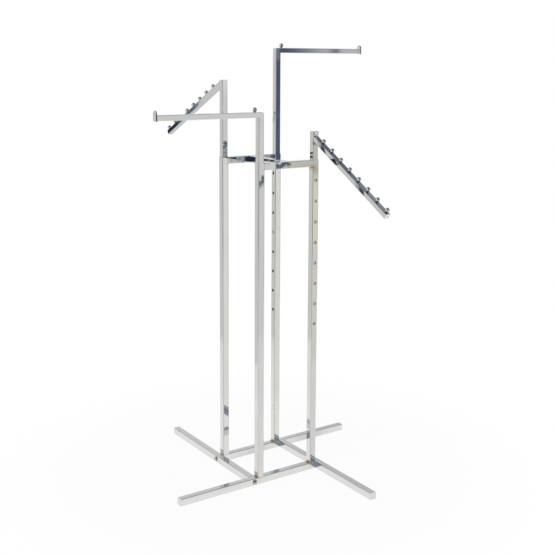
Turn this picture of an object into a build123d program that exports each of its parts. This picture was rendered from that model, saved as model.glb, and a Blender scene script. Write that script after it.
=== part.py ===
from build123d import *
from collections import namedtuple
from math import atan2, cos, degrees, pi, radians, sin
import os

# Four way clothing rack, in mm. +Z is up. The origin is on the floor, under the middle of the rack's box.
# Two welded frames, front (-Y side) and back (+Y side), are bolted together by a top bar and two loose
# legs. Every upright holds a telescoping arm. The arms leave in a pinwheel: front to -X, right to -Y,
# back to +X, left to +Y.

# Frame tube
TUBE_SIDE = 25.4
TUBE_WALL = 1.2
TUBE_CORNER = 2.4
UPRIGHT_LENGTH = 1145.0
UPRIGHT_SPACING_X = 232.0
UPRIGHT_SPACING_Y = 243.5
LEG_LENGTH = 571.5
TOP = TUBE_SIDE + UPRIGHT_LENGTH

# Height holes in one wall of each upright
HOLE_COUNT = 8
HOLE_PITCH = 76.2
HOLE_DIAMETER = 10.0
FIRST_HOLE_DEPTH = 74.0

# Telescoping slider tubes and arm tubes. A straight arm is as wide as its slider, a slanted arm is square.
SLIDER_SIDE = 22.0
ARM_DEPTH = 19.05
THIN_WALL = 1.2
THIN_CORNER = 2.2
SLIDER_TAIL = 76.2
BUTTON_HOLE_DIAMETER = 9.7

# Straight arms
ELBOW_RADIUS = 9.0
END_PLATE_THICKNESS = 5.0
END_PLATE_RISE = 3.5
END_PLATE_DROP = 1.5
END_PLATE_EDGE = 1.2
STRAIGHT_STUD_OFFSET = 20.5

# Ball studs
BALL_DIAMETER = 15.9
BALL_LIFT = 9.0
STUD_NECK_DIAMETER = 6.0
SLANT_STUD_COUNT = 8
ROOT_BALL_OFFSET = 16.4
ROOT_BALL_DROP = 6.0

# Flat caps
CAP_THICKNESS = 2.0
CAP_PLUG_LENGTH = 10.0
CAP_VENT_DIAMETER = 4.0
PLUG_GAP = 0.05

# Bolted joints
BOLT_DIAMETER = 8.0
BOLT_GRIP = 15.0
BOLT_HEAD_DIAMETER = 14.0
BOLT_RIM_HEIGHT = 1.2
BOLT_DOME_HEIGHT = 3.0
RECESS_LENGTH = 7.6
RECESS_WIDTH = 1.6
RECESS_DEPTH = 2.2
WASHER_DIAMETER = 17.0
WASHER_THICKNESS = 1.4
THREADED_PLUG_LENGTH = 18.0
BOLT_CLEARANCE = 0.3
FIT_GAP = 0.05

# Spring clip and snap button
CLIP_THICKNESS = 0.8
CLIP_WIDTH = 9.0
CLIP_TAB = 9.0
CLIP_DEPTH = 58.0
CLIP_FOLD_RADIUS = 3.0
CLIP_WALL_GAP = 0.05
RIVET_DIAMETER = 3.0
BUTTON_DIAMETER = 9.4
BUTTON_FLANGE_DIAMETER = 12.4
BUTTON_FLANGE_THICKNESS = 0.9
BUTTON_PROTRUSION = 1.8
BUTTON_DOME_RADIUS = 8.0

# Cutters: how many times longer a round one is than what it goes through, how far others overrun, and
# the size of the ones that clear everything on one side
CUTTER_RATIO = 4
CUTTER_OVERRUN = 1.0
CUTTER = 200.0

# The clip's fold is drawn with this many straight steps
FOLD_STEPS = 6

HEADING_RIGHT = 0.0
HEADING_REAR = 90.0
HEADING_LEFT = 180.0
HEADING_NEAR = -90.0

HALF_X = UPRIGHT_SPACING_X / 2
HALF_Y = UPRIGHT_SPACING_Y / 2
POSTS = {
    "front": (-HALF_X, -HALF_Y),
    "right": (HALF_X, -HALF_Y),
    "left": (-HALF_X, HALF_Y),
    "back": (HALF_X, HALF_Y),
}
HOLE_HEADINGS = {
    "front": HEADING_RIGHT,
    "right": HEADING_NEAR,
    "left": HEADING_REAR,
    "back": HEADING_LEFT,
}

# Reach is measured level, from the upright's axis. The button rests in the numbered hole; 1 is the top one.
Straight = namedtuple("Straight", "heading hole top reach")
STRAIGHT_ARMS = {
    "front": Straight(HEADING_LEFT, 7, 1346.4, 402.0),
    "back": Straight(HEADING_RIGHT, 4, 1568.0, 396.0),
}
# Drop is from the slider's top down to where the arm's top face starts. Slope is in degrees below level.
Slanted = namedtuple("Slanted", "heading hole top reach drop slope first_stud stud_pitch")
SLANTED_ARMS = {
    "right": Slanted(HEADING_NEAR, 8, 1272.5, 419.5, 16.0, 29.3, 50.1, 58.0),
    "left": Slanted(HEADING_REAR, 6, 1451.0, 425.0, 3.5, 26.5, 67.7, 55.6),
}
ARMS = {**STRAIGHT_ARMS, **SLANTED_ARMS}

MIDDLE = TUBE_SIDE / 2
SLIDER_HALF = SLIDER_SIDE / 2
NEAR_SIDE, REAR_SIDE = -1, 1
SLIDER_PART, ARM_PART = -1, 1


def bar(depth, width, corner, length):
    """A solid bar along +Z, its depth along X and its width along Y."""
    return extrude(RectangleRounded(depth, width, corner), amount=length)


def square_tube(side, wall, corner, length):
    inside = side - 2 * wall
    return bar(side, side, corner, length) - bar(inside, inside, corner - wall, length)


def frame_tube(length):
    return square_tube(TUBE_SIDE, TUBE_WALL, TUBE_CORNER, length)


def thin_tube(side, length):
    return square_tube(side, THIN_WALL, THIN_CORNER, length)


def toward(heading):
    """Turns a shape built along +Z so that it points along a level heading."""
    return Rot(0, 0, heading) * Rot(0, 90, 0)


def along_x(shape):
    return Rot(0, 90, 0) * shape


def along_y(shape):
    return Rot(-90, 0, 0) * shape


def bored(shape, x, y, z, heading, diameter, length):
    """Cuts a round hole of this length, centred on the point, along a level heading."""
    return shape - Pos(x, y, z) * toward(heading) * Cylinder(diameter / 2, length)


def hole_height(number):
    return TOP - FIRST_HOLE_DEPTH - (number - 1) * HOLE_PITCH


def upright(name):
    x, y = POSTS[name]
    body = frame_tube(UPRIGHT_LENGTH)
    for number in range(1, HOLE_COUNT + 1):
        height = hole_height(number) - TUBE_SIDE
        body = bored(body, MIDDLE, 0, height, HEADING_RIGHT, HOLE_DIAMETER, CUTTER_RATIO * TUBE_WALL)
    return Pos(x, y, TUBE_SIDE) * Rot(0, 0, HOLE_HEADINGS[name]) * body


def bolt_sites():
    """Each bolted joint: where the bolt's axis leaves the tube's outer face, and the heading it faces."""
    low = MIDDLE
    high = TOP - MIDDLE
    side_y = HALF_Y + MIDDLE
    side_x = HALF_X + TUBE_SIDE + MIDDLE
    leg_x = HALF_X + TUBE_SIDE
    return [
        (-leg_x, -side_y, low, HEADING_NEAR),
        (-side_x, HALF_Y, low, HEADING_LEFT),
        (leg_x, side_y, low, HEADING_REAR),
        (side_x, -HALF_Y, low, HEADING_RIGHT),
        (0, -side_y, high, HEADING_NEAR),
        (0, side_y, high, HEADING_REAR),
    ]


def bolt_bored(body):
    """Bolt holes through both walls of a frame tube, wherever a bolted joint crosses it."""
    for x, y, z, heading in bolt_sites():
        centre = Pos(x, y, z) * toward(heading) * Pos(0, 0, -MIDDLE)
        radius = BOLT_DIAMETER / 2 + BOLT_CLEARANCE
        body = body - centre * Cylinder(radius, TUBE_SIDE + 2 * CUTTER_OVERRUN)
    return body


def rail(side):
    """Welded top rail between the two uprights of one frame."""
    length = UPRIGHT_SPACING_X - TUBE_SIDE
    return bolt_bored(Pos(-length / 2, side * HALF_Y, TOP - MIDDLE) * along_x(frame_tube(length)))


def cross_bar():
    length = UPRIGHT_SPACING_Y - TUBE_SIDE
    return Pos(0, -length / 2, TOP - MIDDLE) * along_y(frame_tube(length))


def capped_leg():
    """A leg tube along +Z, short of its cap at the far end."""
    return frame_tube(LEG_LENGTH - CAP_THICKNESS)


def leg_places():
    """Where each leg's bolted end sits, and the heading its far end points along."""
    inner_x = HALF_X + MIDDLE
    inner_y = HALF_Y - MIDDLE
    return {
        "front": (inner_x, -HALF_Y, HEADING_LEFT),
        "back": (-inner_x, HALF_Y, HEADING_RIGHT),
        "left": (-HALF_X - TUBE_SIDE, -inner_y, HEADING_REAR),
        "right": (HALF_X + TUBE_SIDE, inner_y, HEADING_NEAR),
    }


def leg(name):
    x, y, heading = leg_places()[name]
    return bolt_bored(Pos(x, y, MIDDLE) * toward(heading) * capped_leg())


def cap(side, wall, corner):
    """A flat cap with its plug below z = 0 and its plate above."""
    plate = bar(side, side, corner, CAP_THICKNESS)
    plug_side = side - 2 * wall - 2 * PLUG_GAP
    plug = bar(plug_side, plug_side, corner - wall, CAP_PLUG_LENGTH)
    return plate + Pos(0, 0, -CAP_PLUG_LENGTH) * plug


def leg_caps():
    start = LEG_LENGTH - CAP_THICKNESS
    blank = cap(TUBE_SIDE, TUBE_WALL, TUBE_CORNER)
    return [
        Pos(x, y, MIDDLE) * toward(heading) * Pos(0, 0, start) * blank
        for x, y, heading in leg_places().values()
    ]


def threaded_plug():
    """A block that fills a tube's end, from z = -length to 0, with the bolt's hole through it."""
    side = TUBE_SIDE - 2 * TUBE_WALL - 2 * PLUG_GAP
    block = bar(side, side, TUBE_CORNER - TUBE_WALL, THREADED_PLUG_LENGTH)
    block = Pos(0, 0, -THREADED_PLUG_LENGTH) * block
    return block - Cylinder(BOLT_DIAMETER / 2 + FIT_GAP, CUTTER_RATIO * THREADED_PLUG_LENGTH)


def bolt():
    """Head up, its underside at z = 0."""
    length = WASHER_THICKNESS + TUBE_SIDE + BOLT_GRIP
    shank = Pos(0, 0, -length / 2) * Cylinder(BOLT_DIAMETER / 2, length)
    rim = Pos(0, 0, BOLT_RIM_HEIGHT / 2) * Cylinder(BOLT_HEAD_DIAMETER / 2, BOLT_RIM_HEIGHT)
    radius = BOLT_HEAD_DIAMETER / 2
    sphere = (radius**2 + BOLT_DOME_HEIGHT**2) / (2 * BOLT_DOME_HEIGHT)
    ball = Pos(0, 0, BOLT_RIM_HEIGHT + BOLT_DOME_HEIGHT - sphere) * Sphere(sphere)
    keep = Pos(0, 0, BOLT_RIM_HEIGHT + BOLT_DOME_HEIGHT / 2) * Cylinder(radius, BOLT_DOME_HEIGHT)
    body = shank + rim + (ball & keep)
    top = BOLT_RIM_HEIGHT + BOLT_DOME_HEIGHT
    slot = Box(RECESS_LENGTH, RECESS_WIDTH, RECESS_DEPTH + CUTTER_OVERRUN)
    slot = Pos(0, 0, top + (CUTTER_OVERRUN - RECESS_DEPTH) / 2) * slot
    return body - slot - Rot(0, 0, 90) * slot


def washer():
    """Lying on z = 0."""
    hole = Cylinder(BOLT_DIAMETER / 2 + BOLT_CLEARANCE, CUTTER_RATIO * WASHER_THICKNESS)
    ring = Cylinder(WASHER_DIAMETER / 2, WASHER_THICKNESS) - hole
    return Pos(0, 0, WASHER_THICKNESS / 2) * ring


def at_bolt_sites(shape, depth):
    """Copies of a shape at every bolted joint, its z = 0 this far outside the tube's outer face."""
    return [
        Pos(x, y, z) * toward(heading) * Pos(0, 0, depth) * shape
        for x, y, z, heading in bolt_sites()
    ]


def corner_cutter(inset, radius):
    """What rounding takes off a straight arm's elbow, or off a corner this far inside the elbow's."""
    edge = SLIDER_HALF - inset
    block = Pos(-edge + radius / 2, 0, -inset - radius / 2) * Box(radius, SLIDER_SIDE, radius)
    drum = Pos(-edge + radius, 0, -inset - radius) * Rot(90, 0, 0) * Cylinder(radius, 2 * SLIDER_SIDE)
    return block - drum


def miter_cutter(direction):
    """Everything beyond the elbow's sloping joint plane, on its arm side or its slider side."""
    tilt = degrees(atan2(ARM_DEPTH, SLIDER_SIDE))
    plane = Pos(0, 0, -ARM_DEPTH / 2) * Rot(0, tilt, 0)
    return plane * Pos(0, 0, direction * CUTTER / 2) * Box(CUTTER, CUTTER, CUTTER)


def elbow_shell(outer, inner):
    """A tube with the elbow's round corner outside and inside. z = 0 is the arm's top face."""
    solid = outer - corner_cutter(0, ELBOW_RADIUS)
    hollow = inner - corner_cutter(THIN_WALL, ELBOW_RADIUS - THIN_WALL)
    return solid - hollow


def slider_length(name):
    return ARMS[name].top - hole_height(ARMS[name].hole) + SLIDER_TAIL


def straight_slider(name):
    """The slider below its mitred top. Its local arm heading is +X and z = 0 is its top."""
    length = slider_length(name)
    inside = SLIDER_SIDE - 2 * THIN_WALL
    outer = Pos(0, 0, -length) * bar(SLIDER_SIDE, SLIDER_SIDE, THIN_CORNER, length)
    inner = Pos(0, 0, -length) * bar(inside, inside, THIN_CORNER - THIN_WALL, length - THIN_WALL)
    return button_bored(elbow_shell(outer, inner) - miter_cutter(ARM_PART), name)


def straight_arm_tube(name):
    length = SLIDER_HALF + STRAIGHT_ARMS[name].reach - END_PLATE_THICKNESS
    outer = along_x(bar(ARM_DEPTH, SLIDER_SIDE, THIN_CORNER, length))
    inner = bar(ARM_DEPTH - 2 * THIN_WALL, SLIDER_SIDE - 2 * THIN_WALL, THIN_CORNER - THIN_WALL, length)
    inner = Pos(THIN_WALL, 0, 0) * along_x(inner)
    place = Pos(-SLIDER_HALF, 0, -ARM_DEPTH / 2)
    body = elbow_shell(place * outer, place * inner) - miter_cutter(SLIDER_PART)
    return stud_bored(body, STRAIGHT_STUD_OFFSET)


def stud_bored(body, distance):
    """Cuts a stud's hole in the top wall of an arm whose top face is z = 0."""
    return body - Pos(distance, 0, 0) * Cylinder(STUD_NECK_DIAMETER / 2 + FIT_GAP, CUTTER_RATIO * THIN_WALL)


def end_plate(name):
    """Upturned stop at the arm's tip: a plate with a round top and a plug in the tube."""
    height = END_PLATE_RISE + ARM_DEPTH + END_PLATE_DROP
    face = Pos(0, END_PLATE_RISE - height / 2) * Rectangle(SLIDER_SIDE, height)
    face = face + Pos(0, END_PLATE_RISE) * Circle(SLIDER_HALF)
    plate = extrude(face, amount=END_PLATE_THICKNESS)
    flat_faces = plate.faces().sort_by(Axis.Z)
    plate = fillet(flat_faces[0].edges() + flat_faces[-1].edges(), END_PLATE_EDGE)
    start = STRAIGHT_ARMS[name].reach - END_PLATE_THICKNESS
    plate = Pos(start, 0, 0) * Rot(0, 0, 90) * Rot(90, 0, 0) * plate
    depth = ARM_DEPTH - 2 * THIN_WALL - 2 * PLUG_GAP
    width = SLIDER_SIDE - 2 * THIN_WALL - 2 * PLUG_GAP
    plug = along_x(bar(depth, width, THIN_CORNER - THIN_WALL, CAP_PLUG_LENGTH + END_PLATE_EDGE))
    return plate + Pos(start - CAP_PLUG_LENGTH, 0, -ARM_DEPTH / 2) * plug


def ball_stud():
    """A ball on a neck that fills its hole in the tube wall. z = 0 is the tube's face."""
    length = BALL_LIFT + THIN_WALL
    neck = Pos(0, 0, (BALL_LIFT - THIN_WALL) / 2) * Cylinder(STUD_NECK_DIAMETER / 2, length)
    return neck + Pos(0, 0, BALL_LIFT) * Sphere(BALL_DIAMETER / 2)


def slope_frame(name):
    """Local frame of a slanted arm: origin where its top face meets the slider, +X down the slope."""
    return Pos(SLIDER_HALF, 0, -SLANTED_ARMS[name].drop) * Rot(0, SLANTED_ARMS[name].slope, 0)


def slant_length(name):
    arm = SLANTED_ARMS[name]
    return (arm.reach - SLIDER_HALF) / cos(radians(arm.slope))


def stud_distances(name):
    arm = SLANTED_ARMS[name]
    return [arm.first_stud + number * arm.stud_pitch for number in range(SLANT_STUD_COUNT)]


def inside_slider():
    """The space up to the slider's arm face, which the slanted arm's pieces are cut back from."""
    return Pos(SLIDER_HALF - CUTTER / 2, 0, 0) * Box(CUTTER, CUTTER, 2 * CUTTER)


def slanted_arm_tube(name):
    """The sloped tube, cut upright where it meets the slider and square at its tip."""
    run_up = 2 * SLIDER_SIDE
    length = slant_length(name) - CAP_THICKNESS
    body = Pos(-run_up, 0, -ARM_DEPTH / 2) * along_x(thin_tube(ARM_DEPTH, length + run_up))
    for distance in stud_distances(name):
        body = stud_bored(body, distance)
    return slope_frame(name) * body - inside_slider()


def slanted_studs(name):
    return [slope_frame(name) * Pos(distance, 0, 0) * ball_stud() for distance in stud_distances(name)]


def root_ball():
    """The right arm's first ball has no neck: it is cut flat and welded to the slider's face."""
    return Pos(ROOT_BALL_OFFSET, 0, -ROOT_BALL_DROP) * Sphere(BALL_DIAMETER / 2) - inside_slider()


def slanted_tip_cap(name):
    body = cap(ARM_DEPTH, THIN_WALL, THIN_CORNER) - Cylinder(CAP_VENT_DIAMETER / 2, CUTTER)
    start = slant_length(name) - CAP_THICKNESS
    return slope_frame(name) * Pos(start, 0, -ARM_DEPTH / 2) * along_x(body)


def slanted_slider(name):
    length = slider_length(name)
    return button_bored(Pos(0, 0, -length) * thin_tube(SLIDER_SIDE, length - CAP_THICKNESS), name)


def slider_top_cap():
    return Pos(0, 0, -CAP_THICKNESS) * cap(SLIDER_SIDE, THIN_WALL, THIN_CORNER)


def button_place(name):
    """Local place of the clip and button: the button's height, turned to the wall that has the holes."""
    arm = ARMS[name]
    return Pos(0, 0, hole_height(arm.hole) - arm.top) * Rot(0, 0, HOLE_HEADINGS[name] - arm.heading)


def button_bored(body, name):
    hole = along_x(Cylinder(BUTTON_HOLE_DIAMETER / 2, CUTTER_RATIO * THIN_WALL))
    return body - button_place(name) * Pos(SLIDER_HALF, 0, 0) * hole


def strip(points, thickness, width):
    """A bent strip in the XZ plane whose middle line runs through the points."""
    left = []
    right = []
    for number, point in enumerate(points):
        before = points[max(number - 1, 0)]
        after = points[min(number + 1, len(points) - 1)]
        into = (Vector(*point) - Vector(*before)).normalized() if number else None
        out = (Vector(*after) - Vector(*point)).normalized() if number < len(points) - 1 else None
        into = into or out
        out = out or into
        bisector = (into + out).normalized()
        normal = Vector(-bisector.Y, bisector.X) * (thickness / 2 / bisector.dot(into))
        left.append(Vector(*point) + normal)
        right.append(Vector(*point) - normal)
    outline = left + right[::-1]
    face = make_face(Polyline(*[(p.X, p.Y) for p in outline], close=True))
    return Rot(90, 0, 0) * Pos(0, 0, -width / 2) * extrude(face, amount=width)


def spring_clip():
    """A V spring inside the slider, its button tab toward +X. z = 0 is the button's axis."""
    wall_face = SLIDER_HALF - THIN_WALL
    tab = wall_face - BUTTON_FLANGE_THICKNESS - 2 * CLIP_WALL_GAP - CLIP_THICKNESS / 2
    rest = -wall_face + CLIP_WALL_GAP + CLIP_THICKNESS / 2
    turns = [pi * step / FOLD_STEPS for step in range(FOLD_STEPS + 1)]
    fold = [(CLIP_FOLD_RADIUS * cos(turn), -CLIP_DEPTH - CLIP_FOLD_RADIUS * sin(turn)) for turn in turns]
    points = [(tab, CLIP_TAB), (tab, -CLIP_TAB)] + fold + [(rest, -CLIP_TAB), (rest, CLIP_TAB)]
    body = strip(points, CLIP_THICKNESS, CLIP_WIDTH)
    rivet_hole = RIVET_DIAMETER + 2 * FIT_GAP
    return bored(body, tab, 0, 0, HEADING_RIGHT, rivet_hole, CUTTER_RATIO * CLIP_THICKNESS)


def snap_button():
    """The button along +X, its flange behind the slider's wall and a rivet through the clip."""
    flange_face = SLIDER_HALF - THIN_WALL - CLIP_WALL_GAP
    flange_back = flange_face - BUTTON_FLANGE_THICKNESS
    tip = MIDDLE + BUTTON_PROTRUSION
    flange = Cylinder(BUTTON_FLANGE_DIAMETER / 2, BUTTON_FLANGE_THICKNESS)
    flange = Pos(flange_back + BUTTON_FLANGE_THICKNESS / 2, 0, 0) * along_x(flange)
    pin_length = tip - flange_back
    pin = Pos(flange_back + pin_length / 2, 0, 0) * along_x(Cylinder(BUTTON_DIAMETER / 2, pin_length))
    pin = pin & Pos(tip - BUTTON_DOME_RADIUS, 0, 0) * Sphere(BUTTON_DOME_RADIUS)
    rivet_length = 2 * CLIP_THICKNESS
    rivet = along_x(Cylinder(RIVET_DIAMETER / 2, rivet_length))
    return flange + pin + Pos(flange_back - rivet_length / 2, 0, 0) * rivet


def place_arm(name, shape):
    x, y = POSTS[name]
    return Pos(x, y, ARMS[name].top) * Rot(0, 0, ARMS[name].heading) * shape


def frame_nodes():
    nodes = {f"upright_{name}": upright(name) for name in POSTS}
    nodes["rail_front"] = rail(NEAR_SIDE)
    nodes["rail_back"] = rail(REAR_SIDE)
    nodes["cross_bar"] = cross_bar()
    for name in leg_places():
        nodes[f"leg_{name}"] = leg(name)
    nodes["leg_caps"] = leg_caps()
    nodes["threaded_plugs"] = at_bolt_sites(threaded_plug(), -TUBE_SIDE)
    nodes["bolts"] = at_bolt_sites(bolt(), WASHER_THICKNESS)
    nodes["washers"] = at_bolt_sites(washer(), 0)
    return nodes


def arm_nodes(name):
    """One arm assembly's pieces, in its local frame."""
    if name in STRAIGHT_ARMS:
        nodes = {
            f"slider_{name}": straight_slider(name),
            f"arm_{name}": straight_arm_tube(name),
            f"end_plate_{name}": end_plate(name),
            f"ball_stud_{name}": Pos(STRAIGHT_STUD_OFFSET, 0, 0) * ball_stud(),
        }
    else:
        nodes = {
            f"slider_{name}": slanted_slider(name),
            f"arm_{name}": slanted_arm_tube(name),
            f"slider_cap_{name}": slider_top_cap(),
            f"tip_cap_{name}": slanted_tip_cap(name),
            f"ball_studs_{name}": slanted_studs(name),
        }
    if name == "right":
        nodes["root_ball_right"] = root_ball()
    nodes[f"spring_clip_{name}"] = button_place(name) * spring_clip()
    nodes[f"snap_button_{name}"] = button_place(name) * snap_button()
    return nodes


def last_ball_reach(name):
    """How far a slanted arm's last ball reaches from its upright's axis. It is the arm's furthest point."""
    slope = radians(SLANTED_ARMS[name].slope)
    along = SLIDER_HALF + stud_distances(name)[-1] * cos(slope)
    return along + BALL_LIFT * sin(slope) + BALL_DIAMETER / 2


def to_origin():
    """Moves the origin from the middle of the uprights to the middle of the box, which the arms bound."""
    shift_x = (STRAIGHT_ARMS["front"].reach - STRAIGHT_ARMS["back"].reach) / 2
    shift_y = (last_ball_reach("right") - last_ball_reach("left")) / 2
    return Pos(shift_x, shift_y, 0)


def as_list(shape):
    return shape if isinstance(shape, list) else [shape]


def save(name, shapes):
    solids = [solid for shape in shapes for solid in (to_origin() * shape).solids()]
    whole = solids[0] if len(solids) == 1 else Compound(children=solids)
    export_step(whole, f"parts/{name}.step")


def main():
    os.makedirs("parts", exist_ok=True)
    for name, shape in frame_nodes().items():
        save(name, as_list(shape))
    for arm in POSTS:
        for name, shape in arm_nodes(arm).items():
            save(name, [place_arm(arm, item) for item in as_list(shape)])


main()
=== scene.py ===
from math import atan2, cos, pi, sin
import random

import bmesh
import bpy
from mathutils import Matrix, Vector


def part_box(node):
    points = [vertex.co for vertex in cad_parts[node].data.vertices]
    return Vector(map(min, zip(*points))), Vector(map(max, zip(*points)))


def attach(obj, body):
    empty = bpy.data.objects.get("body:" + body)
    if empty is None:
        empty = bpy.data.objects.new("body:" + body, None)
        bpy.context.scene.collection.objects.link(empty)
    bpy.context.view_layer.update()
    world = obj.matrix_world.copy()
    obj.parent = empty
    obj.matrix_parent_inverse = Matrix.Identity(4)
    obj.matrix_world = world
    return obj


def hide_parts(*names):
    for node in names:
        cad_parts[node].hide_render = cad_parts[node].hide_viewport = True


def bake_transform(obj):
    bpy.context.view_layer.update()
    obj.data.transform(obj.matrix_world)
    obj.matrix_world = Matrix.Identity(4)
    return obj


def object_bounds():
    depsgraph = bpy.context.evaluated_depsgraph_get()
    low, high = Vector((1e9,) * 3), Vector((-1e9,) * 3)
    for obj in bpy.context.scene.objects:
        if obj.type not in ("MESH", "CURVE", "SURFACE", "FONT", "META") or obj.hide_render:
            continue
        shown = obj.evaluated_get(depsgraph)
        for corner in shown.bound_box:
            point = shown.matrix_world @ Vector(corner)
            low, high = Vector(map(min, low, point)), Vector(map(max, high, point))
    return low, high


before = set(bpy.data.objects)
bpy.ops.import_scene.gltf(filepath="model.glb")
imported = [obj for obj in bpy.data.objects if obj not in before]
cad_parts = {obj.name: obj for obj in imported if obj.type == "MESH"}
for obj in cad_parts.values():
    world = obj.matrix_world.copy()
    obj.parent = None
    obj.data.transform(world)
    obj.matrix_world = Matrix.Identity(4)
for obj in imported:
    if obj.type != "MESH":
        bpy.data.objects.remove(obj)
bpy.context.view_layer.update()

random.seed(7)

POSTS = ("front", "right", "left", "back")
MM = 0.001
X, Y, Z = Vector((1, 0, 0)), Vector((0, 1, 0)), Vector((0, 0, 1))


# ---------------------------------------------------------------- node and object helpers

class Nodes:
    """A short way to add linked shader nodes to a tree."""

    def __init__(self, tree):
        self.tree = tree
        self.tree.nodes.clear()

    def add(self, kind, inputs=None, **settings):
        node = self.tree.nodes.new("ShaderNode" + kind)
        for key, value in settings.items():
            setattr(node, key, value)
        for key, value in (inputs or {}).items():
            self.feed(node.inputs[key], value)
        return node

    def feed(self, socket, value):
        if isinstance(value, bpy.types.NodeSocket):
            self.tree.links.new(value, socket)
        elif isinstance(value, bpy.types.Node):
            self.tree.links.new(value.outputs[0], socket)
        else:
            is_colour = hasattr(socket.default_value, "__len__") and len(socket.default_value) == 4
            if is_colour and len(value) == 3:
                value = (*value, 1.0)
            socket.default_value = value

    def math(self, operation, a, b=0.0, clamp=False):
        return self.add("Math", {0: a, 1: b}, operation=operation, use_clamp=clamp).outputs[0]

    def vector(self, operation, *inputs):
        return self.add("VectorMath", dict(enumerate(inputs)), operation=operation).outputs[0]

    def length(self, vector):
        return self.add("VectorMath", {0: vector}, operation="LENGTH").outputs["Value"]

    def dot(self, a, b):
        return self.add("VectorMath", {0: a, 1: b}, operation="DOT_PRODUCT").outputs["Value"]

    def split(self, vector):
        return self.add("SeparateXYZ", {0: vector}).outputs

    def place(self):
        """Where the point is in the frame: every CAD node's object sits at the origin."""
        return self.add("TexCoord").outputs["Object"]

    def step(self, value, low, high, bottom=0.0, top=1.0):
        """Smoothly from bottom to top as value goes from low to high."""
        inputs = {0: value, 1: low, 2: high, 3: bottom, 4: top}
        return self.add("MapRange", inputs, interpolation_type="SMOOTHSTEP").outputs[0]

    def mix(self, share, a, b):
        node = self.add("Mix", data_type="RGBA")
        self.feed(node.inputs[0], share)
        self.feed(node.inputs[6], a)
        self.feed(node.inputs[7], b)
        return node.outputs[2]

    def noise(self, vector, scale, detail=3.0, roughness=0.5):
        inputs = {"Vector": vector, "Scale": scale, "Detail": detail, "Roughness": roughness}
        return self.add("TexNoise", inputs).outputs[0]

    def stretched(self, vector, along, across):
        """The vector scaled across Z and along Z, for streaks that run along a tube."""
        return self.vector("MULTIPLY", vector, (across, across, along))

    def bump(self, height, distance, normal=None):
        inputs = {"Height": height, "Distance": distance, "Strength": 1.0}
        if normal is not None:
            inputs["Normal"] = normal
        return self.add("Bump", inputs).outputs[0]


def new_material(name):
    material = bpy.data.materials.new(name)
    material.use_nodes = True
    return material, Nodes(material.node_tree)


def finish_material(nodes, colour, metallic, roughness, normal):
    inputs = {"Base Color": colour, "Metallic": metallic, "Roughness": roughness, "Normal": normal}
    shader = nodes.add("BsdfPrincipled", inputs)
    nodes.add("OutputMaterial", {"Surface": shader})


def new_object(name, data):
    thing = bpy.data.objects.new(name, data)
    bpy.context.scene.collection.objects.link(thing)
    return thing


def mesh_object(name, mesh, material):
    """Turns a bmesh into an object with one material."""
    data = bpy.data.meshes.new(name)
    mesh.to_mesh(data)
    mesh.free()
    data.materials.append(material)
    return new_object(name, data)


# ---------------------------------------------------------------- sizes read from the frame

def middle_of(node):
    low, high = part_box(node)
    return (low + high) / 2


def level(vector):
    """The nearest of the four level directions along the axes."""
    if abs(vector.x) > abs(vector.y):
        return Vector((1 if vector.x > 0 else -1, 0, 0))
    return Vector((0, 1 if vector.y > 0 else -1, 0))


def tube_axis(node):
    """X or Y, whichever a level tube runs along."""
    low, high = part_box(node)
    return X if high.x - low.x > high.y - low.y else Y


UPRIGHT_LOW, UPRIGHT_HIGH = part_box("upright_front")
TUBE_HALF = (UPRIGHT_HIGH.x - UPRIGHT_LOW.x) / 2
CORNER_SHARE = 0.094  # a tube's corner radius, as a share of its side
TUBE_CORNER = CORNER_SHARE * 2 * TUBE_HALF
FLAT_HALF = TUBE_HALF - TUBE_CORNER
LEG_TOP = UPRIGHT_LOW.z
RAIL_TOP = UPRIGHT_HIGH.z

# The height holes: the right arm's button stands in the lowest, the front arm's in the next one up
LOWEST_HOLE = middle_of("snap_button_right").z
HOLE_PITCH = middle_of("snap_button_front").z - LOWEST_HOLE
HOLE_COUNT = 8
HOLE_RADIUS = 5.0 * MM

# Each tube with a bolt through it, and the tube that butts against it there
BUTT_JOINTS = (
    ("leg_front", "leg_left"),
    ("leg_left", "leg_back"),
    ("leg_back", "leg_right"),
    ("leg_right", "leg_front"),
    ("rail_front", "cross_bar"),
    ("rail_back", "cross_bar"),
)


def foot(post):
    centre = middle_of(f"upright_{post}")
    return Vector((centre.x, centre.y, LEG_TOP))


def leg_sides(post):
    """The sides of an upright's foot, along X, past which the leg under it goes on."""
    low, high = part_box("leg_front" if post in ("front", "right") else "leg_back")
    return [side for side in (-1, 1) if low.x < foot(post).x + 2 * side * TUBE_HALF < high.x]


def butt_heading(through, butted):
    """From the butted tube out through the tube it meets."""
    axis = tube_axis(butted)
    return axis if (middle_of(through) - middle_of(butted)).dot(axis) > 0 else -axis


def arm_heading(post):
    """The level direction in which an arm leaves its upright."""
    return level(middle_of(f"arm_{post}") - middle_of(f"slider_{post}"))


def arm_axes():
    """Each arm tube's direction in space, its slope and its width, worked out from its box."""
    axes = {}
    for post in POSTS:
        low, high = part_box(f"arm_{post}")
        heading = arm_heading(post)
        run = abs((high - low).dot(heading))
        drop = high.z - low.z
        width = min(high.x - low.x, high.y - low.y)
        slope = 0.0
        if drop > 2 * width:
            for _ in range(20):
                slope = atan2(drop - width * cos(slope), run)
        axes[post] = (heading * cos(slope) - Z * sin(slope)).normalized(), slope, width
    return axes


ARM_AXES = arm_axes()


def arm_bottom(post):
    """How high a slanted arm's underside meets its slider."""
    _, slope, width = ARM_AXES[post]
    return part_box(f"arm_{post}")[1].z - width / cos(slope)


# ---------------------------------------------------------------- where the rust is

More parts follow.
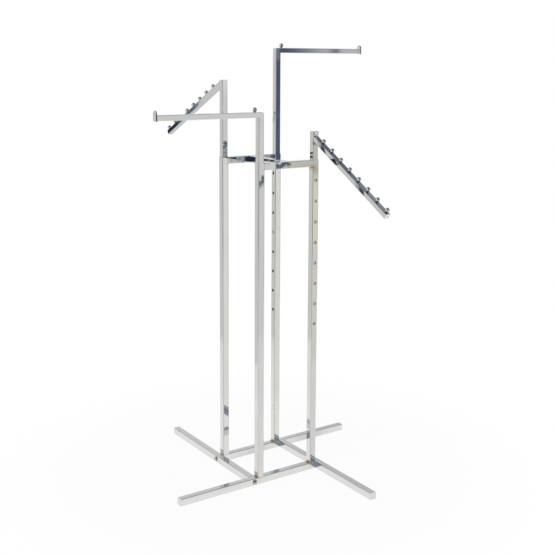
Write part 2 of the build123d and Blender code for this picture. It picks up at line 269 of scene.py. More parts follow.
# Each spot is a box: its centre, its half size and how far the rust reaches from it
FOOT_RUST = {"front": 4.5 * MM, "right": 5 * MM, "back": 5.5 * MM}
RAIL_RUST = (2 * MM, 6 * MM)
BOLT_STAIN_HALF = Vector((5 * MM, 5 * MM, 5 * MM))
BOLT_STAIN_REACH = 2.4 * MM
RUN_HALF = Vector((9 * MM, 1 * MM, 3 * MM))
RUN_DROP = 4 * MM
RUN_REACH = 3.2 * MM


def foot_spots():
    """Rust across the -X side of the feet that have it."""
    half = 0.6 * TUBE_HALF * Y
    return [(foot(post) - TUBE_HALF * X, half, reach) for post, reach in FOOT_RUST.items()]


def rail_spots():
    """Rust under both ends of the front rail, more of it at the right."""
    low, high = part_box("rail_front")
    middle = (low.y + high.y) / 2
    ends = zip((low.x, high.x), RAIL_RUST)
    return [(Vector((end, middle, low.z)), TUBE_HALF * Y, reach) for end, reach in ends]


def bolt_spots():
    """Stains round the bolts, on the outer face of each tube that another one butts against."""
    spots = []
    for through, butted in BUTT_JOINTS:
        heading = butt_heading(through, butted)
        wall, centre = middle_of(through), middle_of(butted)
        face = wall + TUBE_HALF * heading
        x, y = (centre.x, face.y) if heading.y else (face.x, centre.y)
        spots.append((Vector((x, y, wall.z)), BOLT_STAIN_HALF, BOLT_STAIN_REACH))
    return spots


def arm_spots(post):
    """Rust that runs down the slider from the weld under a slanted arm's root."""
    face = middle_of(f"slider_{post}") + arm_heading(post) * 0.85 * TUBE_HALF
    return [(Vector((face.x, face.y, arm_bottom(post) - RUN_DROP)), RUN_HALF, RUN_REACH)]


# ---------------------------------------------------------------- patterns for the finishes

def along_frame(nodes, along):
    """Object coordinates turned so that Z runs along the tube."""
    turn = Vector(along).normalized().rotation_difference(Z).to_euler()
    inputs = {"Vector": nodes.place(), "Rotation": turn}
    return nodes.add("Mapping", inputs, vector_type="POINT").outputs[0]


def specks(nodes, vector, cells, radius, share):
    """Sparse round specks: a share of the cells each hold one."""
    cell = nodes.add("TexVoronoi", {"Vector": vector, "Scale": cells})
    red, green, _ = nodes.split(cell.outputs["Color"])
    chosen = nodes.math("LESS_THAN", red, share)
    size = nodes.math("MULTIPLY", green, radius)
    spot = nodes.math("SUBTRACT", 1.0, nodes.step(cell.outputs["Distance"], 0.0, size))
    return nodes.math("MULTIPLY", chosen, spot)


def scratch_marks(nodes, place, wear):
    """Fine scratches along and across the tube."""
    along = nodes.step(nodes.noise(nodes.stretched(place, 26.0, 700.0), 1.0, 2.0), 0.70, 0.76)
    across = nodes.step(nodes.noise(nodes.stretched(place, 520.0, 24.0), 1.0, 2.0), 0.73, 0.78)
    return nodes.math("MULTIPLY", nodes.math("MAXIMUM", along, across), 0.8 * wear)


def nearness(nodes, spots):
    """Distance to the nearest rust spot, in that spot's own reach."""
    place = nodes.place()
    nearest = 10.0
    for centre, half, reach in spots:
        offset = nodes.vector("ABSOLUTE", nodes.vector("SUBTRACT", place, centre))
        outside = nodes.vector("MAXIMUM", nodes.vector("SUBTRACT", offset, half), (0, 0, 0))
        distance = nodes.math("DIVIDE", nodes.length(outside), reach)
        nearest = nodes.math("MINIMUM", nearest, distance)
    return nearest


def nearest_hole(nodes, post):
    """How far a point on the upright's holed wall is from the nearest hole's axis."""
    centre = middle_of(f"upright_{post}")
    facing = level(middle_of(f"snap_button_{post}") - centre)
    x, y, z = nodes.split(nodes.place())
    on_wall, beside = (x, y) if facing.x else (y, x)
    wall_middle, side_middle = (centre.x, centre.y) if facing.x else (centre.y, centre.x)
    number = nodes.math("DIVIDE", nodes.math("SUBTRACT", z, LOWEST_HOLE), HOLE_PITCH)
    whole = nodes.math("MAXIMUM", nodes.math("ROUND", number), 0)
    whole = nodes.math("MINIMUM", whole, HOLE_COUNT - 1)
    rise = nodes.math("MULTIPLY", nodes.math("SUBTRACT", number, whole), HOLE_PITCH)
    aside = nodes.math("SUBTRACT", beside, side_middle)
    distance = nodes.length(nodes.add("CombineXYZ", {0: rise, 1: aside}))
    depth = nodes.math("SUBTRACT", on_wall, wall_middle)
    depth = nodes.math("MULTIPLY", depth, facing.x + facing.y)
    return nodes.math("ADD", distance, nodes.math("LESS_THAN", depth, 0.5 * TUBE_HALF))


def inside_share(nodes, centre, reach):
    """1 on surfaces within reach of the upright line through centre: those inside a tube."""
    x, y, _ = nodes.split(nodes.place())
    from_x = nodes.math("ABSOLUTE", nodes.math("SUBTRACT", x, centre.x))
    from_y = nodes.math("ABSOLUTE", nodes.math("SUBTRACT", y, centre.y))
    return nodes.math("LESS_THAN", nodes.math("MAXIMUM", from_x, from_y), reach)


def under_shade_share(nodes, axis, surface, reach, most):
    """Painted shade low on a stud: most within reach of the arm's top, none a little higher."""
    up = (Z - axis * axis.z).normalized()
    height = nodes.math("SUBTRACT", nodes.dot(nodes.place(), up), up.dot(surface))
    return nodes.step(height, reach, 1.8 * reach, most, 0.0)


# ---------------------------------------------------------------- metal finishes

PLATE = (0.744, 0.742, 0.734)
SMUDGE_BROWN = (0.62, 0.60, 0.54)
SCRATCH_GREY = (0.52, 0.52, 0.51)
STAIN_TAN = (0.50, 0.38, 0.22)
RUST_DARK, RUST_PALE = (0.16, 0.075, 0.03), (0.34, 0.22, 0.11)
HOLE_STAIN = (0.42, 0.30, 0.17)
# Bare steel, near black: partly its own colour, partly painted shade in the holes and inside the
# tube
BARE_SHADE_DARK, BARE_SHADE_PALE = (0.030, 0.024, 0.018), (0.06, 0.048, 0.034)
# Painted shade for the part of a slider inside its upright
HIDDEN_SHADE_COLOUR = (0.06, 0.045, 0.03)
DUST = (0.33, 0.34, 0.37)
# Painted shade low on the ball studs, next to the arm
STUD_SHADE_COLOUR = (0.10, 0.09, 0.085)
SAWN_DARK, SAWN_PALE = (0.07, 0.075, 0.09), (0.13, 0.135, 0.15)
ZINC_RUST = (0.20, 0.10, 0.045)


def rust_by_spots(nodes, place, colour, rust, spots):
    """Round each spot, a tan stain on the colour and rust close in."""
    near = nearness(nodes, spots)
    blotch = nodes.noise(place, 210.0, 4.0, 0.65)
    far_fade = nodes.step(near, 0.7, 3.0, 0.75, 0.0)
    stain = nodes.math("MULTIPLY", far_fade, nodes.step(blotch, 0.3, 0.6))
    close_fade = nodes.step(near, 0.2, 1.0, 1.0, 0.0)
    close = nodes.math("MULTIPLY", close_fade, nodes.step(blotch, 0.34, 0.52))
    return nodes.mix(stain, colour, STAIN_TAN), nodes.math("MAXIMUM", rust, close)


def stained_shaded_holes(nodes, colour, roughness, post, cloud, smudge):
    """Stains round the height holes; bare steel in them, in a thin ring round them and inside the
    tube, darkened near black as painted shade.
    """
    hole = nearest_hole(nodes, post)
    fade = nodes.step(hole, 1.05 * HOLE_RADIUS, 1.9 * HOLE_RADIUS, 0.55, 0.0)
    colour = nodes.mix(nodes.math("MULTIPLY", fade, smudge), colour, HOLE_STAIN)
    bare_and_shaded = inside_share(nodes, middle_of(f"upright_{post}"), TUBE_HALF - 0.6 * MM)
    bare_and_shaded = nodes.math("MAXIMUM", bare_and_shaded, nodes.math("LESS_THAN", hole, 1.08 * HOLE_RADIUS))
    colour = nodes.mix(bare_and_shaded, colour, nodes.mix(cloud, BARE_SHADE_DARK, BARE_SHADE_PALE))
    return colour, nodes.mix(bare_and_shaded, roughness, (0.55, 0.55, 0.55))


def painted_hidden_shade(nodes, colour, roughness, hidden_shade):
    """Painted shade on what is below the rails' top, inside an upright."""
    height = nodes.split(nodes.add("NewGeometry").outputs["Position"])[2]
    hidden = nodes.step(height, RAIL_TOP - 3 * MM, RAIL_TOP - 1 * MM, hidden_shade, 0.0)
    return nodes.mix(hidden, colour, HIDDEN_SHADE_COLOUR), nodes.mix(hidden, roughness, (0.4, 0.4, 0.4))


def plating(name, along=(0, 0, 1), tint=PLATE, wear=1.0, spots=(), post=None, edge=None,
            hidden_shade=0.0, dust=0.1, under_shade=None):
    """Bright plated steel: faint waves, polishing lines, smudges, scratches, specks and rust."""
    material, nodes = new_material(name)
    place = along_frame(nodes, along)
    smudge = nodes.noise(place, 23.0, 5.0, 0.6)
    lines = nodes.noise(nodes.stretched(place, 3.0, 900.0), 1.0, 2.0)
    scratches = scratch_marks(nodes, place, wear)
    cloud = nodes.step(nodes.noise(nodes.stretched(place, 1.0, 18.0), 3.0, 3.0), 0.3, 0.7)

    colour = nodes.mix(cloud, tuple(0.95 * channel for channel in tint), tint)
    colour = nodes.mix(nodes.math("MULTIPLY", smudge, 0.10), colour, SMUDGE_BROWN)
    colour = nodes.mix(nodes.math("MULTIPLY", scratches, 0.35), colour, SCRATCH_GREY)
    rust = nodes.math("MULTIPLY", specks(nodes, place, 95.0, 0.30, 0.018 * wear), 0.85)
    if spots:
        colour, rust = rust_by_spots(nodes, place, colour, rust, spots)
    rust_colour = nodes.mix(nodes.noise(place, 900.0, 3.0), RUST_DARK, RUST_PALE)
    colour = nodes.mix(rust, colour, rust_colour)

    roughness = nodes.step(smudge, 0.35, 0.75, 0.03, 0.075)
    roughness = nodes.math("ADD", roughness, nodes.math("MULTIPLY", scratches, 0.22))
    roughness = nodes.math("ADD", roughness, nodes.math("MULTIPLY", rust, 0.5), clamp=True)
    metallic = nodes.math("SUBTRACT", 1.0, nodes.math("MULTIPLY", rust, 0.75))
    if post:
        colour, roughness = stained_shaded_holes(nodes, colour, roughness, post, cloud, smudge)
    # Painted shade on the part of a slider inside its upright
    if hidden_shade:
        colour, roughness = painted_hidden_shade(nodes, colour, roughness, hidden_shade)

    up = nodes.split(nodes.add("NewGeometry").outputs["Normal"])[2]
    film = nodes.step(up, 0.80, 0.97, 0.0, dust)
    film = nodes.math("MULTIPLY", film, nodes.step(smudge, 0.3, 0.6, 0.5, 1.0))
    colour = nodes.mix(film, colour, DUST)
    metallic = nodes.math("MULTIPLY", metallic, nodes.math("SUBTRACT", 1.0, film))
    # Painted shade low on the studs, where they stand on the arm
    if under_shade:
        patchy = nodes.step(smudge, 0.25, 0.6, 0.7, 1.0)
        shaded_low = nodes.math("MULTIPLY", under_shade_share(nodes, *under_shade), patchy)
        colour = nodes.mix(shaded_low, colour, STUD_SHADE_COLOUR)
        extra = nodes.math("MULTIPLY", shaded_low, 0.3)
        roughness = nodes.math("ADD", roughness, extra, clamp=True)
    if edge is not None:
        facing = nodes.dot(nodes.add("NewGeometry").outputs["Normal"], edge)
        sawn = nodes.step(nodes.math("ABSOLUTE", facing), 0.7, 0.9)
        colour = nodes.mix(sawn, colour, nodes.mix(cloud, SAWN_DARK, SAWN_PALE))

    waves = nodes.bump(nodes.noise(nodes.stretched(place, 7.0, 30.0), 1.0, 1.0), 0.05 * MM)
    fine = nodes.bump(lines, 0.0009 * MM, waves)
    marks = nodes.bump(scratches, -0.002 * MM, fine)
    finish_material(nodes, colour, metallic, roughness, nodes.bump(rust, 0.05 * MM, marks))
    return material


def turned_steel(name, light, dark, rust_share, roughness=(0.22, 0.42), metal=1.0):
    """Bare or zinc plated small parts: cloudy colour, fine grain, rust in blotches."""
    material, nodes = new_material(name)
    place = nodes.place()
    cloud = nodes.step(nodes.noise(place, 180.0, 4.0, 0.6), 0.3, 0.7)
    grain = nodes.noise(place, 2600.0, 2.0)
    blotch = nodes.noise(place, 420.0, 5.0, 0.7)
    blotch = nodes.step(blotch, 0.66 - rust_share, 0.76 - rust_share)
    colour = nodes.mix(cloud, dark, light)
    colour = nodes.mix(nodes.math("MULTIPLY", blotch, 0.8), colour, ZINC_RUST)
    rough = nodes.step(cloud, 0.0, 1.0, roughness[1], roughness[0])
    rough = nodes.math("ADD", rough, nodes.math("MULTIPLY", blotch, 0.35), clamp=True)
    clean = nodes.math("SUBTRACT", 1.0, nodes.math("MULTIPLY", blotch, 0.7))
    normal = nodes.bump(grain, 0.004 * MM, nodes.bump(blotch, 0.05 * MM))
    finish_material(nodes, colour, nodes.math("MULTIPLY", metal, clean), rough, normal)
    return material


def weld_metal(name, burnt):
    """Plated weld bead: pale with straw and brown heat tint, the more burnt the browner."""
    material, nodes = new_material(name)
    place = nodes.place()
    heat = nodes.math("ADD", nodes.noise(place, 150.0, 3.0, 0.55), burnt)
    straw = nodes.mix(nodes.step(heat, 0.42, 0.58), (0.60, 0.58, 0.52), (0.40, 0.31, 0.17))
    colour = nodes.mix(nodes.step(heat, 0.56, 0.68), straw, (0.15, 0.085, 0.045))
    grain = nodes.noise(place, 1400.0, 3.0)
    rough = nodes.step(heat, 0.4, 0.65, 0.18, 0.55)
    metallic = nodes.step(heat, 0.55, 0.7, 1.0, 0.4)
    finish_material(nodes, colour, metallic, rough, nodes.bump(grain, 0.03 * MM))
    return material


# ---------------------------------------------------------------- weld beads

BEAD = 1.6 * MM
ARM_BEAD = 1.3 * MM
BEAD_STEP = 1.1 * MM
SEAM_INSET = 1.1 * MM
# The rail beads stand this far out of their corner, so that none reaches the slider inside
BEAD_SHIFT = 0.6 * MM
FILL_EXTRA = 0.2 * MM
FILL_BEVEL = 0.25 * MM


def path_points(corners, spacing):
    """Points every spacing along the path through the corners."""
    points = []
    for start, end in zip(corners, corners[1:]):
        count = max(1, round((end - start).length / spacing))
        points += [start.lerp(end, k / count) for k in range(count)]
    return points + [corners[-1]]


def sweep_bead(mesh, points, radius, sides=8, ripple=0.12):
    """A rippled bead along the points, tapering to closed ends, added to the bmesh."""
    turns = [2 * pi * n / sides for n in range(sides)]
    rings = []
    last = len(points) - 1
    for k, point in enumerate(points):
        ahead = (points[min(k + 1, last)] - points[max(k - 1, 0)]).normalized()
        side = ahead.orthogonal().normalized()
        up = ahead.cross(side)
        taper = min(1.0, 0.4 + 0.3 * min(k, last - k))
        size = radius * taper * (1 + ripple * sin(k * 2.1) + random.uniform(-0.1, 0.1))
        rings.append([mesh.verts.new(point + size * (cos(t) * side + sin(t) * up)) for t in turns])
    for ring, after in zip(rings, rings[1:]):
        turn = min(range(sides), key=lambda n: (after[n].co - ring[0].co).length)
        for n in range(sides):
            m = (n + 1) % sides
            next_m, next_n = after[(m + turn) % sides], after[(n + turn) % sides]
            mesh.faces.new((ring[n], ring[m], next_m, next_n))
    mesh.faces.new(rings[0])
    mesh.faces.new(rings[-1])


def smooth_piece(name, mesh, body, material):
    """Turns a bmesh into a smooth piece that rides on a body."""
    bmesh.ops.recalc_face_normals(mesh, faces=mesh.faces)
    piece = mesh_object(name, mesh, material)
    for face in piece.data.polygons:
        face.use_smooth = True
    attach(piece, body)


def bead_piece(name, paths, radius, body, material):
    """One piece holding a bead along each path of corners."""
    mesh = bmesh.new()
    for corners in paths:
        sweep_bead(mesh, path_points(corners, BEAD_STEP), radius)
    smooth_piece(name, mesh, body, material)


def corner_fill(mesh, corner, out, down, along):
    """A prism that fills the groove by a tube's rounded edge under another tube's end."""
    deep = TUBE_CORNER
    arc = (1 - cos(pi / 4)) * deep + FILL_EXTRA
    section = [(0, 0), (0, deep), (arc, arc), (deep, 0)]
    outline = [corner - inward * out + below * down for inward, below in section]
    left = [mesh.verts.new(point - FLAT_HALF * along) for point in outline]
    right = [mesh.verts.new(point + FLAT_HALF * along) for point in outline]
    for k in range(len(outline)):
        after = (k + 1) % len(outline)
        mesh.faces.new((left[k], right[k], right[after], left[after]))
    mesh.faces.new(left)
    mesh.faces.new(right)


def dressed_piece(name, fills, material):
    """Welds ground flush: one piece holding every fill."""
    mesh = bmesh.new()
    for fill in fills:
        corner_fill(mesh, *fill)
    bmesh.ops.bevel(mesh, geom=mesh.edges[:], offset=FILL_BEVEL, segments=2, affect="EDGES",
                    clamp_overlap=True)
    smooth_piece(name, mesh, "frame", material)


def foot_welds(post, dressed):
    """Beads on the leg's top beside the foot, and flush fills on the foot's other sides."""
    beaded = leg_sides(post)
    across = FLAT_HALF * Y
    middles = [foot(post) + side * TUBE_HALF * X for side in beaded]
    paths = [[middle - across, middle + across] for middle in middles]
    bead_piece(f"weld_foot_{post}", paths, BEAD, "frame", dressed)
    flush = [side for side in (-1, 1) if side not in beaded]
    fills = [(foot(post) + side * TUBE_HALF * Y, side * Y, -Z, X) for side in (-1, 1)]
    fills += [(foot(post) + side * TUBE_HALF * X, side * X, -Z, Y) for side in flush]
    dressed_piece(f"dressed_foot_{post}", fills, dressed)


def rail_welds(side, material, dressed):
    """Beads under both ends of a rail, and flush fills on its faces."""
    low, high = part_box(f"rail_{side}")
    middle = (low.y + high.y) / 2
    across = FLAT_HALF * Y
    ends = [(Vector((low.x, middle, low.z)), -X), (Vector((high.x, middle, low.z)), X)]
    seams = [end - BEAD_SHIFT * outward for end, outward in ends]
    paths = [[seam - across, seam + across] for seam in seams]
    bead_piece(f"weld_rail_{side}", paths, BEAD, "frame", material)
    fills = [(end + TUBE_HALF * Z + way * TUBE_HALF * Y, way * Y, outward, Z)
             for end, outward in ends for way in (-1, 1)]
    dressed_piece(f"dressed_rail_{side}", fills, dressed)


def arm_weld(post, material):
    """A bead under a slanted arm's root and up its sides, or in a straight arm's corner."""
    _, slope, width = ARM_AXES[post]
    heading = arm_heading(post)
    across = Z.cross(heading)
    slider_low, slider_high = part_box(f"slider_{post}")
    half = (slider_high.x - slider_low.x) / 2
    face = middle_of(f"slider_{post}") + heading * half
    if slope:
        inset = width / 2 - SEAM_INSET
        root = Vector((face.x, face.y, arm_bottom(post)))
        corners = [root + across * place for place in (-inset, inset)]
        up = width / 2 * Z
        path = [corners[0] + up, corners[0], corners[1], corners[1] + up]
    else:
        corner = Vector((face.x, face.y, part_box(f"arm_{post}")[0].z))
        path = [corner - across * 0.8 * half, corner + across * 0.8 * half]
    bead_piece(f"weld_arm_{post}", [path], ARM_BEAD, f"arm_assembly_{post}", material)


def weld_rack():
    rail_weld = weld_metal("frame_weld", 0.0)
    dressed = plating("dressed_plating", spots=foot_spots() + rail_spots())
    for post in POSTS:
        foot_welds(post, dressed)
    for side in ("front", "back"):
        rail_welds(side, rail_weld, dressed)
    arm_weld("front", weld_metal("burnt_weld", 0.16))
    arm_weld("right", weld_metal("rusty_weld", 0.12))
    arm_weld("left", weld_metal("straw_weld", 0.03))
    arm_weld("back", weld_metal("pale_weld", 0.0))


# ---------------------------------------------------------------- spring clips

CLIP_FOLD_HALF = 3.4 * MM
CLIP_TAB_INSET = 0.9 * MM
CLIP_TAB_SHARE = 0.72  # how far up the clip its button's tab is
CLIP_LEG_CUTS = 16


def bending_clip(post):
    """The spring clip again, cut across its legs, in place of the original."""
    node = f"spring_clip_{post}"
    low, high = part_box(node)
    rise = high.z - low.z
    mesh = bmesh.new()
    mesh.from_mesh(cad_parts[node].data)
    for cut in range(1, CLIP_LEG_CUTS):
        height = low.z + rise * cut / CLIP_LEG_CUTS
        everything = mesh.verts[:] + mesh.edges[:] + mesh.faces[:]
        bmesh.ops.bisect_plane(mesh, geom=everything, plane_co=(0, 0, height), plane_no=Z)
    piece = mesh_object(f"bending_{node}", mesh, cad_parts[node].data.materials[0])
    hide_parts(node)

    # Works out a fold by the button, a tilt so that the other leg would stay put, and the button's
    # tab; nothing uses the result
    heading = level(middle_of(f"snap_button_{post}") - middle_of(f"slider_{post}"))
    middle = middle_of(node)
    half_depth = abs((high - low).dot(heading)) / 2
    fold = Vector((middle.x, middle.y, low.z)) + CLIP_FOLD_HALF * heading
    tilt = (heading + (half_depth + CLIP_FOLD_HALF) / rise * Z).normalized()
    reach = half_depth - CLIP_FOLD_HALF - CLIP_TAB_INSET
    tab = reach * heading + CLIP_TAB_SHARE * rise * Z
    fold + tab.dot(tilt) * tilt
    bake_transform(piece)


# ---------------------------------------------------------------- finishes on the frame's nodes

CAP_PLATE = (0.722, 0.720, 0.712)
# The studs' plating made darker: painted shade standing in for the dark room that the balls
# reflect
STUD_SHADED_PLATE = (0.66, 0.65, 0.64)
BAR_DUST = 0.75
# How strong the painted shade is on each slider inside its upright, and low on the studs of each
# arm
SLIDER_HIDDEN_SHADE = {"front": 0.6, "right": 0.25, "left": 0.6, "back": 0.85}
STUD_UNDER_SHADE = (
    ("ball_stud_front", "front", 0.95),
    ("ball_stud_back", "back", 0.7),
    ("ball_studs_right", "right", 0.9),
    ("ball_studs_left", "left", 0.0),
)
STUD_NECK = 5.0 * MM


def paint(node, material):
    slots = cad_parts[node].data.materials
    slots.clear()
    slots.append(material)


def stud_under_shade(post, most):
    """Painted shade up to a neck's height above the arm's top, which starts next to its slider."""
    low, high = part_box(f"arm_{post}")
    heading, middle = arm_heading(post), middle_of(f"arm_{post}")
    root = low if heading.x + heading.y > 0 else high
    x, y = (root.x, middle.y) if heading.x else (middle.x, root.y)
    return ARM_AXES[post][0], Vector((x, y, high.z)), STUD_NECK, most


def paint_frame():
    for post in POSTS:
        spots = foot_spots() + rail_spots()
        paint(f"upright_{post}", plating(f"upright_{post}_plating", spots=spots, post=post))
    legs = ("leg_front", "leg_back", "leg_left", "leg_right")
    for node in ("rail_front", "rail_back", "cross_bar") + legs:
        spots = bolt_spots() + (foot_spots() if node in legs else rail_spots())
        dust = BAR_DUST if node == "cross_bar" else 0.1
        paint(node, plating(f"{node}_plating", tube_axis(node), spots=spots, dust=dust))


def paint_arms():
    for post, hidden_shade in SLIDER_HIDDEN_SHADE.items():
        spots = arm_spots(post) if post == "right" else ()
        slider = plating(f"slider_{post}_plating", wear=0.8, spots=spots, hidden_shade=hidden_shade)
        paint(f"slider_{post}", slider)
        paint(f"arm_{post}", plating(f"arm_{post}_plating", ARM_AXES[post][0], wear=0.8))
    for studs, post, most in STUD_UNDER_SHADE:
        under_shade = stud_under_shade(post, most)
        stud = plating(f"{studs}_plating", tint=STUD_SHADED_PLATE, wear=0.5, dust=0.0, under_shade=under_shade)
        paint(studs, stud)
    for post in ("front", "back"):
        paint(f"end_plate_{post}", plating(f"end_plate_{post}_plating", edge=(0, 1, 0)))


def paint_small_parts():
    cap = plating("cap_plating", Y, tint=CAP_PLATE)
    for node in ("leg_caps", "slider_cap_right", "slider_cap_left", "tip_cap_right",
                 "tip_cap_left"):
        paint(node, cap)
    # Painted highlight: the root ball is made pale and barely metallic, so that it looks bright
    # all over
    highlight_finish = turned_steel("pale_painted_highlight", (0.80, 0.80, 0.79), (0.68, 0.68, 0.67), 0.0,
                         roughness=(0.25, 0.4), metal=0.2)
    paint("root_ball_right", highlight_finish)
    zinc = turned_steel("bolt_zinc", (0.88, 0.82, 0.70), (0.62, 0.54, 0.42), 0.09,
                        roughness=(0.34, 0.5))
    paint("bolts", zinc)
    paint("washers", turned_steel("washer_zinc", (0.46, 0.39, 0.28), (0.28, 0.22, 0.14), 0.12))
    plug = turned_steel("plug_steel", (0.50, 0.50, 0.51), (0.38, 0.38, 0.39), 0.04)
    paint("threaded_plugs", plug)
    button = turned_steel("button_steel", (0.60, 0.58, 0.55), (0.36, 0.33, 0.30), 0.12)
    clip = turned_steel("clip_steel", (0.30, 0.30, 0.33), (0.18, 0.18, 0.20), 0.04)
    for post in POSTS:
        paint(f"snap_button_{post}", button)
        paint(f"spring_clip_{post}", clip)


# ---------------------------------------------------------------- studio

# What the plating reflects, as soft-edged patches of the room: a name, azimuth from +Y towards +X
# (left and right), elevation above level (low and high) and the edge's softness, all in degrees,
# then the colour. Later patches cover earlier ones.
ROOM = [
    ("far floor", -180, 180, -90, 90, 0.1, (0.735, 0.745, 0.73)),
    ("right floor", 85, 180, -90, 90, 0.4, (0.90, 0.91, 0.88)),
    ("grey strip", 146.55, 148.0, -30, -5, 0.15, (0.78, 0.79, 0.785)),
    ("far wall", 146.55, 154, -4.9, -2.0, 0.2, (0.78, 0.785, 0.775)),
    ("near floor edge", -180, 180, -90, -16.6, 0.4, (0.93, 0.93, 0.915)),
    ("near floor", -180, 180, -90, -20, 0.6, (1.0, 1.0, 0.985)),
    ("floor left of the rack", -33.3, -32.2, -18.0, -16.2, 0.2, (0.725, 0.73, 0.715)),
    ("near floor left of the rack", -33.3, -32.2, -24.2, -20.7, 0.3, (0.92, 0.92, 0.905)),
    ("floor by the front post", 146.7, 148.0, -24.2, -21.1, 0.3, (0.865, 0.865, 0.86)),
    ("floor by the right post", 143.3, 144.9, -23.4, -18.4, 0.4, (0.85, 0.85, 0.84)),
    ("near grey strip", 146.55, 148.0, -21, -16.6, 0.2, (0.84, 0.85, 0.845)),
    ("floor below", -180, 180, -90, -38, 3.0, (0.70, 0.715, 0.72)),
    ("upper room", -180, 180, 8, 90, 3.0, (0.50, 0.53, 0.59)),
    ("back wall", -60, 85, 1, 17, 1.5, (0.93, 0.94, 0.94)),
    ("high back wall", -60, 36, 17, 34, 2.0, (0.76, 0.77, 0.775)),
    ("high side wall", 36, 85, 17, 34, 2.0, (0.64, 0.66, 0.67)),
    ("ceiling", -180, 180, 62, 90, 8.0, (0.14, 0.17, 0.26)),
    ("dark ceiling", 30, 98, 35, 80, 3.0, (0.13, 0.155, 0.23)),
    ("paler ceiling", 64.2, 98, 35, 60, 1.2, (0.27, 0.295, 0.375)),
    ("warm strip", 142.4, 145.3, -11, -6.8, 0.4, (0.92, 0.83, 0.66)),
    ("lower warm strip", 142.4, 145.3, -18, -11, 0.6, (0.80, 0.775, 0.71)),
    ("shadow line", 142.4, 145.3, -7.35, -7.05, 0.12, (0.74, 0.68, 0.57)),
    ("grey wall", 140, 145.4, -6.85, 8, 0.15, (0.64, 0.645, 0.615)),
    ("tan box", 142.4, 145.3, -6.85, -6.45, 0.15, (0.54, 0.50, 0.41)),
    ("dark room", 98, 140.5, -14, 30, 1.0, (0.078, 0.10, 0.168)),
    ("behind the camera", 163, 236, -12, 60, 1.5, (0.073, 0.10, 0.172)),
    ("dark upper room", 158, 305, 6, 62, 1.5, (0.083, 0.11, 0.182)),
    ("dark door", 148.25, 149.05, -6.25, -5.88, 0.08, (0.26, 0.275, 0.29)),
    ("bright floor", 96, 132, -62, -40, 3.0, (1.15, 1.15, 1.13)),
    ("photographer's mat", 198, 226, -33, -12, 1.0, (0.38, 0.43, 0.53)),
    ("window", 248, 282, 12, 46, 4.0, (2.2, 2.2, 2.2)),
]


def patch_share(nodes, azimuth, elevation, left, right, low, high, soft):
    """1 inside a patch of the room, with soft edges. A full circle or pole has no edge."""
    if right > 180:
        azimuth = nodes.math("WRAP", azimuth, left - 60)
        azimuth.node.inputs[2].default_value = left + 300
    share = 1.0
    if right - left < 360:
        share = nodes.step(azimuth, left - soft, left + soft)
        before = nodes.step(azimuth, right - soft, right + soft, 1.0, 0.0)
        share = nodes.math("MULTIPLY", share, before)
    if low > -90:
        above = nodes.step(elevation, low - soft, low + soft)
        share = nodes.math("MULTIPLY", share, above)
    if high < 90:
        below = nodes.step(elevation, high - soft, high + soft, 1.0, 0.0)
        share = nodes.math("MULTIPLY", share, below)
    return share


def room_colour(nodes):
    x, y, z = nodes.split(nodes.add("TexCoord").outputs["Generated"])
    azimuth = nodes.math("DEGREES", nodes.math("ARCTAN2", x, y))
    elevation = nodes.math("DEGREES", nodes.math("ARCSINE", z))
    colour = ROOM[0][-1]
    for _, *extent, patch in ROOM[1:]:
        colour = nodes.mix(patch_share(nodes, azimuth, elevation, *extent), colour, patch)
    return colour


def build_room():
    world = bpy.data.worlds.new("studio")
    bpy.context.scene.world = world
    world.use_nodes = True
    nodes = Nodes(world.node_tree)
    seen = nodes.add("LightPath").outputs["Is Camera Ray"]
    colour = nodes.mix(seen, room_colour(nodes), (1.0, 1.0, 1.0))
    background = nodes.add("Background", {"Color": colour, "Strength": 1.0})
    nodes.add("OutputWorld", {"Surface": background})


FLOOR_HALF = 12.0
FLOOR_GAP = 0.2 * MM


def floor_material():
    """Pale, and mostly lit by itself: it stays near white and takes only a faint shadow."""
    material, nodes = new_material("pale_floor")
    place = nodes.place()
    grain = nodes.noise(place, 60.0, 4.0)
    colour = nodes.mix(nodes.math("MULTIPLY", grain, 0.3), (0.93, 0.93, 0.93), (0.88, 0.88, 0.88))
    diffuse = nodes.add("BsdfDiffuse", {"Color": colour, "Normal": nodes.bump(grain, 0.2 * MM)})
    glow = nodes.add("Emission", {"Color": (1.0, 1.0, 1.0), "Strength": 1.0})
    share = nodes.step(nodes.length(place), 0.5, 1.2, 0.95, 1.0)
    mixed = nodes.add("MixShader", {0: share, 1: diffuse, 2: glow})
    nodes.add("OutputMaterial", {"Surface": mixed})
    return material


def build_floor():
    mesh = bmesh.new()
    bmesh.ops.create_grid(mesh, x_segments=8, y_segments=8, size=FLOOR_HALF)
    floor = mesh_object("floor", mesh, floor_material())
    floor.location.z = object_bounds()[0][2] - FLOOR_GAP
    floor.visible_glossy = False


def card_material(name, shade):
    """A softly folded cloth that glows in the colour that shade makes."""
    material, nodes = new_material(name)
    place = nodes.add("NewGeometry").outputs["Position"]
    folds = nodes.math("MULTIPLY", nodes.noise(place, 11.0, 3.0), 0.4)
    x, _, z = nodes.split(place)
    inputs = {"Color": shade(nodes, x, z), "Strength": nodes.math("ADD", 0.8, folds)}
    nodes.add("OutputMaterial", {"Surface": nodes.add("Emission", inputs)})
    return material


def build_card(name, left, right, y, bottom, top, shade):
    """An upright cloth in the plane of Y, out of view, that only the plating reflects."""
    mesh = bmesh.new()
    corners = ((left, bottom), (right, bottom), (right, top), (left, top))
    mesh.faces.new([mesh.verts.new((x, y, z)) for x, z in corners])
    bmesh.ops.subdivide_edges(mesh, edges=mesh.edges, cuts=6, use_grid_fill=True)
    card = mesh_object(name, mesh, card_material(name, shade))
    card.visible_camera = False
    card.visible_diffuse = False
    card.visible_shadow = False


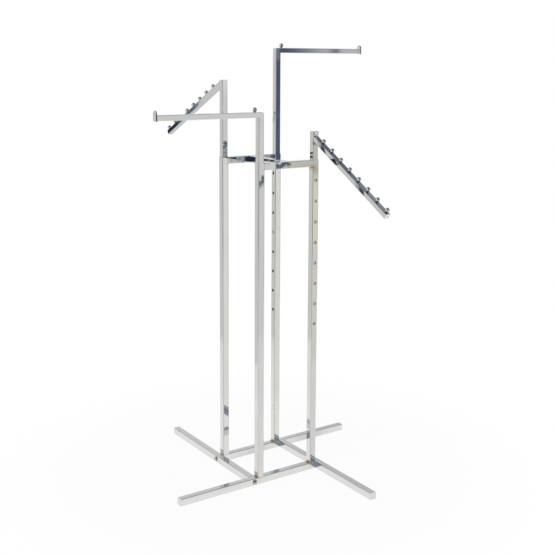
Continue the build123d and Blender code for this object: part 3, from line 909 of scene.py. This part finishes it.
def right_cloth_shade(nodes, x, z):
    """A pale hem, then dark slate that fades to pale grey to the right past a darker fold."""
    colour = nodes.mix(nodes.step(x, 0.81, 1.19), (0.093, 0.118, 0.190), (0.60, 0.615, 0.66))
    fold = nodes.step(x, 1.165, 1.185, 1.0, 0.0)
    fold = nodes.math("MULTIPLY", nodes.step(x, 1.08, 1.15), fold)
    colour = nodes.mix(nodes.math("MULTIPLY", fold, 0.7), colour, (0.108, 0.13, 0.205))
    top = nodes.step(x, 0.797, 0.807, 1.0, 0.0)
    top = nodes.math("MULTIPLY", nodes.step(z, 1.505, 1.535), top)
    colour = nodes.mix(nodes.math("MULTIPLY", top, 0.85), colour, (0.258, 0.28, 0.375))
    return nodes.mix(nodes.step(x, 0.74, 0.755), (0.40, 0.415, 0.475), colour)


def left_cloth_shade(nodes, x, z):
    """Slate blue, then near black to the right."""
    slate = nodes.mix(nodes.step(z, 1.15, 1.25), (0.135, 0.18, 0.26), (0.12, 0.165, 0.24))
    return nodes.mix(nodes.step(x, -1.272, -1.262), slate, (0.022, 0.032, 0.06))


def photographer_shade(nodes, x, z):
    """Slate clothes to the left, navy in the middle, a lighter stand to the right."""
    legs = nodes.mix(nodes.step(z, 0.55, 0.65), (0.10, 0.13, 0.19), (0.07, 0.10, 0.16))
    colour = nodes.mix(nodes.step(x, -2.40, -2.30), legs, (0.028, 0.042, 0.08))
    return nodes.mix(nodes.step(x, -1.85, -1.70), colour, (0.23, 0.31, 0.41))


def build_cards():
    build_card("right_cloth", 0.70, 2.3, -0.90, 1.01, 2.0, right_cloth_shade)
    build_card("left_cloth", -1.415, -0.80, 2.60, 0.80, 1.90, left_cloth_shade)
    build_card("photographer", -2.75, -1.15, -3.10, 0.30, 1.45, photographer_shade)


LIGHT_TARGET = Vector((0, 0, 0.8))


def build_softbox(name, place, size, power):
    light = bpy.data.lights.new(name, "AREA")
    light.shape = "RECTANGLE"
    light.size, light.size_y = size
    light.energy = power
    lamp = new_object(name, light)
    lamp.location = place
    lamp.rotation_euler = (LIGHT_TARGET - Vector(place)).to_track_quat("-Z", "Y").to_euler()
    lamp.visible_glossy = False


# ---------------------------------------------------------------- camera

EYE = Vector((-1.93108, -2.94776, 1.53637))
YAW, PITCH, ROLL = 0.95662, -0.14880, 0.00842
FOCAL_WIDTHS = 1.75121
SHIFT = (-0.0399, -0.1355)


def build_camera():
    forward = Vector((cos(YAW) * cos(PITCH), sin(YAW) * cos(PITCH), sin(PITCH)))
    right = forward.cross(Z).normalized()
    up = right.cross(forward)
    turned_right = right * cos(ROLL) + up * sin(ROLL)
    turned_up = up * cos(ROLL) - right * sin(ROLL)
    data = bpy.data.cameras.new("camera")
    data.sensor_width = 36.0
    data.lens = data.sensor_width * FOCAL_WIDTHS
    data.shift_x, data.shift_y = SHIFT
    data.clip_end = 50.0
    camera = new_object("camera", data)
    axes = Matrix((turned_right, turned_up, -forward)).transposed()
    camera.matrix_world = Matrix.Translation(EYE) @ axes.to_4x4()
    bpy.context.scene.camera = camera


paint_frame()
paint_arms()
paint_small_parts()
weld_rack()
for post in POSTS:
    bending_clip(post)
build_room()
build_floor()
build_cards()
build_softbox("key", (-3.2, -2.0, 3.4), (2.2, 1.6), 60.0)
build_softbox("fill", (2.6, -3.2, 2.6), (2.0, 2.0), 25.0)
build_camera()
bpy.context.scene.view_settings.view_transform = "Standard"
